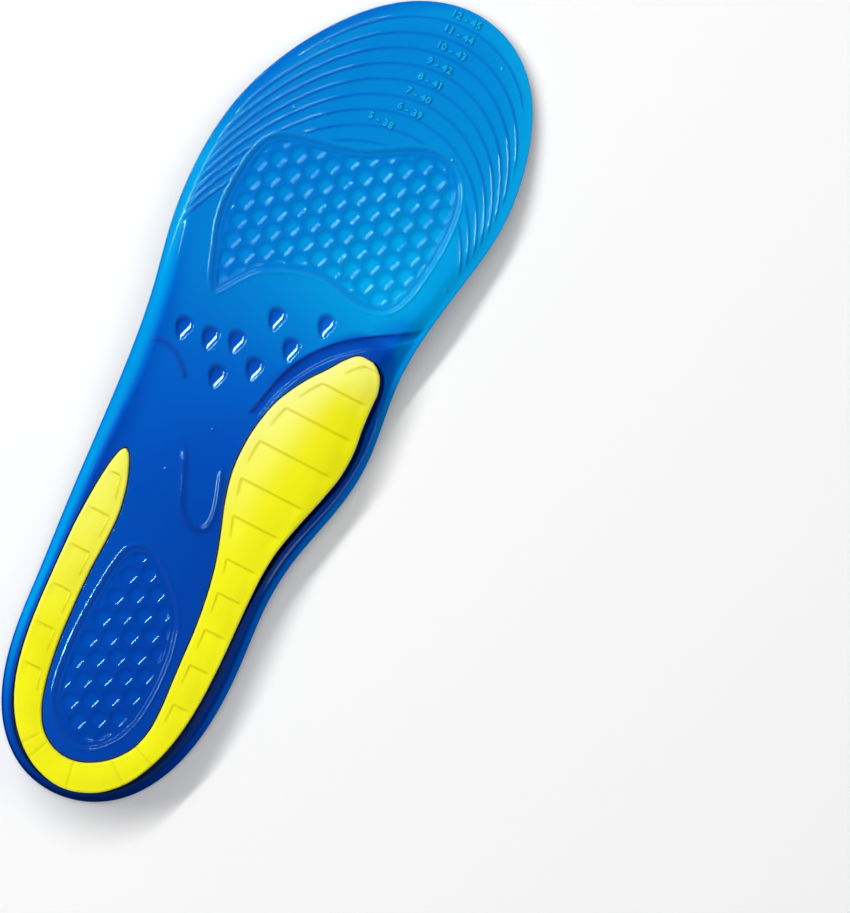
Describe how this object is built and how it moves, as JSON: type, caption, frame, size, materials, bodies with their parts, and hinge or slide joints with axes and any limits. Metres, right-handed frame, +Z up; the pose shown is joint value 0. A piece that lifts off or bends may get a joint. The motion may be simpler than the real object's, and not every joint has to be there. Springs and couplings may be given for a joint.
{
  "type": "cushioned insole",
  "caption": "Full-length cushioned shoe insole: moulded gel body with cell panels, raised heel cup rim, U-shaped arch and heel support, thin foam backing and knit fabric cover.",
  "frame": {"origin": "middle of the footprint, on the surface that the heel cup rim and the toe rest on when the insole lies fabric side down", "axes": "+Y along the foot towards the toes, +X towards the inner (arch) side of this right-foot insole, +Z up out of the gel side that faces the shoe; turn it half a turn about Y to lay it in a shoe"},
  "size_m": [0.1024, 0.3, 0.0168],
  "materials": {
    "gel": "soft translucent blue gel, moulded, glossy",
    "support": "firm yellow elastomer, moulded, satin",
    "foam": "thin white closed-cell foam",
    "cover": "fine blue-grey knit"
  },
  "bodies": {
    "root": {"gel_body": "gel", "arch_heel_support": "support", "foam_backing": "foam", "top_cover": "cover"}
  },
  "joints": []
}
